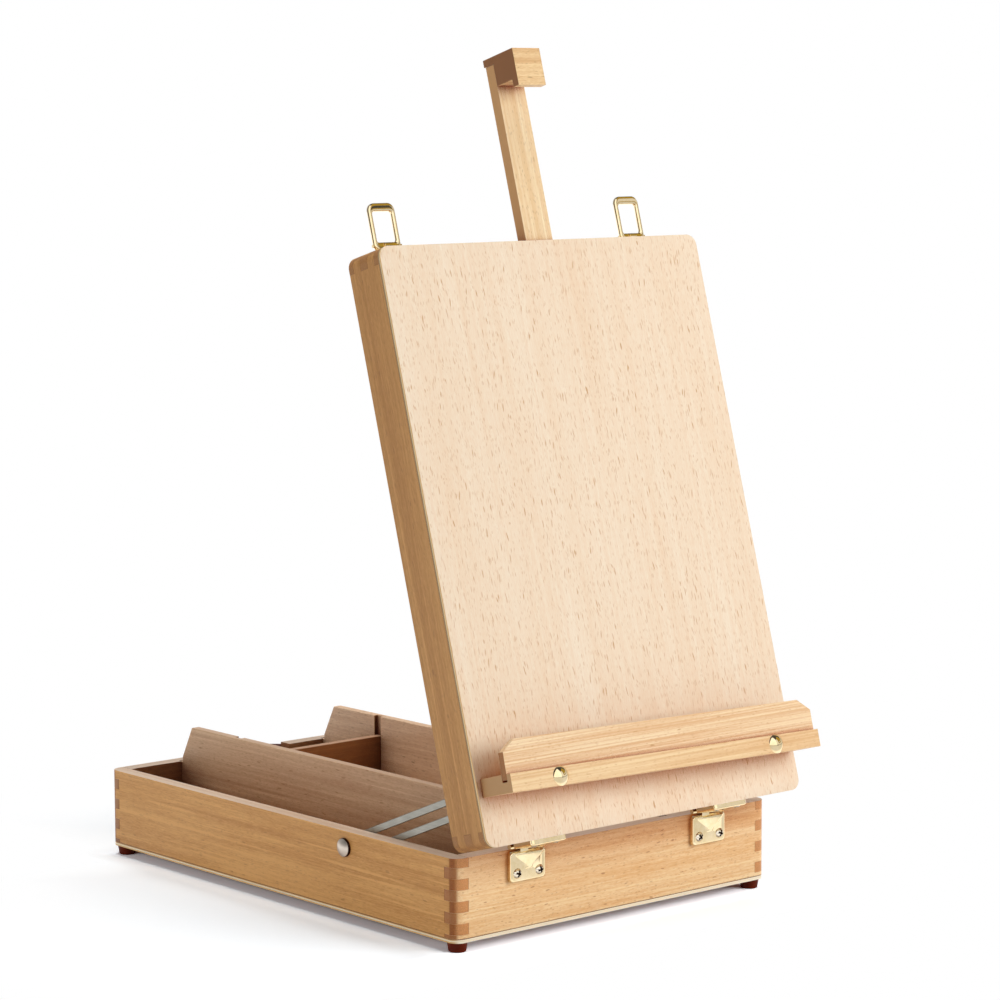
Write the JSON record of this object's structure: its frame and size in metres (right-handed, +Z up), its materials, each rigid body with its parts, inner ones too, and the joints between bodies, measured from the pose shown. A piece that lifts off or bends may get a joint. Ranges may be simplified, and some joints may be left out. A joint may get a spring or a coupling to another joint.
{
  "type": "pochade box",
  "caption": "Beech table-box easel with a finger-jointed tray and hinged lid on slotted stays, canvas ledge, sliding mast with hook, wire-loop latches and side carrying strap.",
  "frame": {"origin": "centre of the underside of the bottom board", "axes": "+Z up, -Y towards the artist at the hinge side, +X to the artist's right"},
  "size_m": [0.2614, 0.432, 0.5243],
  "materials": {
    "beech": "satin",
    "beech_ply": "satin",
    "plastic_brown": "matte",
    "leather_brown": "satin",
    "brass_plate": "polished",
    "nickel_plate": "polished",
    "zinc_steel": "brushed"
  },
  "bodies": {
    "base": {"base_bottom": "beech_ply", "base_wall_front": "beech", "base_wall_rear": "beech", "base_wall_left": "beech", "base_wall_right": "beech", "feet": "plastic_brown", "partition_left": "beech", "partition_right": "beech", "partition_cross": "beech", "hinge_leaf_base_left": "brass_plate", "hinge_leaf_base_right": "brass_plate", "hinge_pins": "brass_plate", "hinge_screws_base": "nickel_plate", "stay_bolts": "nickel_plate", "latch_keepers": "brass_plate", "latch_keeper_screws": "brass_plate", "handle_strap": "leather_brown", "handle_caps": "brass_plate", "handle_screws": "brass_plate"},
    "lid": {"lid_wall_left": "beech", "lid_wall_right": "beech", "lid_wall_hinge": "beech", "lid_wall_top": "beech", "lid_panel": "beech_ply", "hinge_leaf_lid_left": "brass_plate", "hinge_leaf_lid_right": "brass_plate", "hinge_screws_lid": "nickel_plate", "ledge_shelf": "beech", "ledge_lip": "beech", "ledge_bolts": "brass_plate", "ledge_washers": "nickel_plate", "ledge_nuts": "nickel_plate", "mast_guide_upper": "beech", "mast_guide_lower": "beech", "clamp_insert": "brass_plate", "latch_brackets": "brass_plate", "latch_pins": "brass_plate", "latch_bracket_screws": "brass_plate"},
    "mast": {"mast": "beech", "mast_hook": "beech", "mast_stop_pin": "brass_plate"},
    "clamp": {"clamp_screw": "brass_plate", "clamp_knob": "brass_plate"},
    "loop_left": {"latch_loop_left": "brass_plate"},
    "loop_right": {"latch_loop_right": "brass_plate"},
    "washer_left": {"stay_washer_left": "zinc_steel"},
    "stay_left": {"stay_left": "zinc_steel", "stay_pivot_left": "zinc_steel"},
    "wing_nut_left": {"stay_wing_nut_left": "nickel_plate"},
    "washer_right": {"stay_washer_right": "zinc_steel"},
    "stay_right": {"stay_right": "zinc_steel", "stay_pivot_right": "zinc_steel"},
    "wing_nut_right": {"stay_wing_nut_right": "nickel_plate"}
  },
  "joints": [
    {"name": "lid_hinge", "type": "hinge", "parent": "base", "child": "lid", "pos_m": [0, -0.1788, 0.0522], "axis": [1, 0, 0], "range_deg": [-74.2, 8]},
    {"name": "mast_slide", "type": "slide", "parent": "lid", "child": "mast", "axis": [0, 0.2723, 0.9622], "range_m": [-0.096, 0.0975]},
    {"name": "clamp_turn", "type": "hinge", "parent": "lid", "child": "clamp", "pos_m": [0, -0.09892, 0.36092], "axis": [0, 0.9622, -0.2723], "range_deg": [0, 360]},
    {"name": "latch_loop_left_swing", "type": "hinge", "parent": "lid", "child": "loop_left", "pos_m": [-0.099, -0.0825, 0.40096], "axis": [1, 0, 0], "range_deg": [-90, 88]},
    {"name": "stay_swing_left", "type": "hinge", "parent": "base", "child": "washer_left", "pos_m": [-0.1162, -0.0733, 0.0403], "axis": [1, 0, 0], "range_deg": [-0.5, 3.2]},
    {"name": "stay_slide_left", "type": "slide", "parent": "washer_left", "child": "stay_left", "axis": [0, 0.9253, -0.3792], "range_m": [-0.0046, 0.041]},
    {"name": "wing_nut_left_turn", "type": "hinge", "parent": "base", "child": "wing_nut_left", "pos_m": [-0.11, -0.0733, 0.0403], "axis": [1, 0, 0], "range_deg": [0, 360]},
    {"name": "latch_loop_right_swing", "type": "hinge", "parent": "lid", "child": "loop_right", "pos_m": [0.099, -0.0825, 0.40096], "axis": [1, 0, 0], "range_deg": [-90, 88]},
    {"name": "stay_swing_right", "type": "hinge", "parent": "base", "child": "washer_right", "pos_m": [0.1162, -0.0733, 0.0403], "axis": [1, 0, 0], "range_deg": [-0.5, 3.2]},
    {"name": "stay_slide_right", "type": "slide", "parent": "washer_right", "child": "stay_right", "axis": [0, 0.9253, -0.3792], "range_m": [-0.0046, 0.041]},
    {"name": "wing_nut_right_turn", "type": "hinge", "parent": "base", "child": "wing_nut_right", "pos_m": [0.11, -0.0733, 0.0403], "axis": [-1, 0, 0], "range_deg": [0, 360]}
  ],
  "couplings": [
    {"joint": "stay_swing_left", "follows": "lid_hinge", "ratio": -0.040799},
    {"joint": "stay_slide_left", "follows": "lid_hinge", "m_per_rad": -0.031344},
    {"joint": "stay_swing_right", "follows": "lid_hinge", "ratio": -0.040799},
    {"joint": "stay_slide_right", "follows": "lid_hinge", "m_per_rad": -0.031344}
  ]
}
